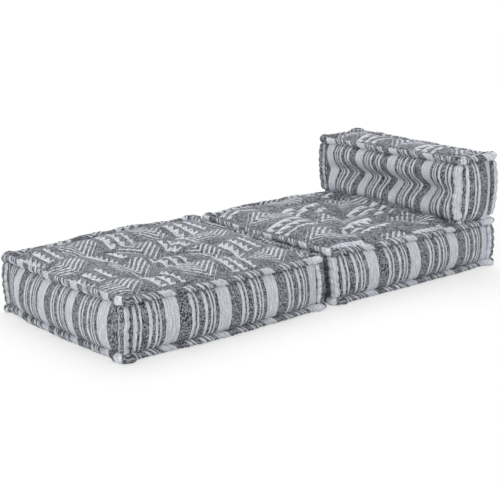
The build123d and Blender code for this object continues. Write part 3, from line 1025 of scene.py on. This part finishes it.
# Tufting twine
# A closed loop of waxed cotton twine goes right through a cushion at each tuft and is pulled tight,
# so the cloth sinks in at both ends. The hollows show and the twine itself is nearly hidden.
TWINE = 1.25 * MM  # radius
TWINE_SPAN = 6 * MM  # from the loop's middle to each strand

for cushion in CUSHIONS:
    node = f"{cushion.name}_tuft_twine"
    low, high = (np.array(corner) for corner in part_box(node))
    middle = (cushion.low + cushion.high) / 2
    middle[2] = (low[2] + high[2]) / 2
    if cushion is BACKREST:
        spots = [middle + (0, k * TUFT_ROW, 0) for k in (-1, 0, 1)]
        pull, spread = np.array([1, 0, 0]), np.array([0, 1, 0])
    else:
        spots = [middle + (p, q, 0) for p, q in TUFTS[cushion.name]]
        pull, spread = np.array([0, 0, 1]), np.array([1, 0, 0])
    reach = (high - low) @ pull / 2 - TWINE_SPAN - TWINE
    torus = bpy.ops.mesh.primitive_torus_add
    loops = []
    for spot in spots:
        loop = primitive(
            torus, major_segments=24, minor_segments=8, major_radius=TWINE_SPAN, minor_radius=TWINE)
        points = points_of(loop)
        away = np.sign(points[:, 1]) * (np.abs(points[:, 1]) > TWINE)
        third = np.cross(spread, pull)
        laid = spot + np.outer(points[:, 0], spread) + np.outer(points[:, 1] + away * reach, pull)
        place(loop, cushion.settle(laid + np.outer(points[:, 2], third)))
        loops.append(loop)
    select(*loops)
    bpy.ops.object.join()
    fit_out(loops[0], cushion, node, "twine", waxed)


# Floor, light and camera
# A plain white floor, broad soft light from above and behind, and a long lens a little above the
# set, turned 40 degrees from square across it, as in the photograph.
FLOOR_DROP = 0.5 * MM
WHITE = (1, 1, 1, 1)
CAMERA_PLACE = (-2.6528, -3.0917, 1.1981)
CAMERA_TURN, CAMERA_DOWN, CAMERA_TILT = 40.231, 14.915, -0.265  # in degrees
CAMERA_LENS = 101.2


def backdrop_rays(finish):
    """1 for what the camera sees, straight or by way of metal or glass, 0 for light on the object."""
    path = finish.tree.nodes.new("ShaderNodeLightPath")
    seen = Socket(finish, path.outputs["Is Camera Ray"])
    for ray in ("Is Glossy Ray", "Is Transmission Ray"):
        seen = seen.math("MAXIMUM", Socket(finish, path.outputs[ray]))
    return seen


floor = primitive(bpy.ops.mesh.primitive_plane_add, size=60, location=(0, 0, -FLOOR_DROP))
floor.name = floor.data.name = "studio_floor"
paper = Finish("white_paper")
paper.feed(paper.shader, {"Base Color": (0.82, 0.82, 0.82, 1), "Roughness": 1.0})
lit = paper.node("BsdfDiffuse", {}, {"Color": WHITE})
glow = paper.node("Emission", {}, {"Color": WHITE, "Strength": 1.0})
shown = paper.node("MixShader", {}, {0: 0.55, 1: lit, 2: glow})
plain = Socket(paper, paper.shader.outputs[0])
both = paper.node("MixShader", {}, {0: backdrop_rays(paper), 1: plain, 2: shown})
paper.feed(paper.tree.nodes["Material Output"], {"Surface": both})
floor.data.materials.append(paper.material)

studio = Finish("studio", "worlds")
light = studio.node("Background", {}, {"Color": WHITE, "Strength": 0.6})
backdrop = studio.node("Background", {}, {"Color": WHITE, "Strength": 1.0})
surround = studio.node("MixShader", {}, {0: backdrop_rays(studio), 1: light, 2: backdrop})
studio.feed(studio.tree.nodes["World Output"], {"Surface": surround})
bpy.context.scene.world = studio.material


def soft_sun(name, strength, turn, height):
    """Even, very soft light from a direction: degrees round from +X, and above the floor."""
    light = bpy.data.lights.new(name, "SUN")
    light.energy = strength
    light.angle = radians(50)
    lamp = bpy.data.objects.new(name, light)
    bpy.context.scene.collection.objects.link(lamp)
    lamp.matrix_world = Matrix.Rotation(radians(turn), 4, "Z") @ Matrix.Rotation(radians(90 - height), 4, "Y")


soft_sun("light_from_behind", strength=1.34, turn=50, height=52)
soft_sun("light_from_the_front", strength=0.95, turn=210, height=22)

camera = bpy.data.objects.new("camera", bpy.data.cameras.new("camera"))
bpy.context.scene.collection.objects.link(camera)
camera.data.lens = CAMERA_LENS
camera.data.sensor_width = 36
camera.data.clip_end = 200
camera.matrix_world = (
    Matrix.Translation(CAMERA_PLACE)
    @ Matrix.Rotation(radians(-CAMERA_TURN), 4, "Z")
    @ Matrix.Rotation(radians(90 - CAMERA_DOWN), 4, "X")
    @ Matrix.Rotation(radians(CAMERA_TILT), 4, "Z")
)
bpy.context.scene.camera = camera
bpy.context.scene.view_settings.view_transform = "Standard"
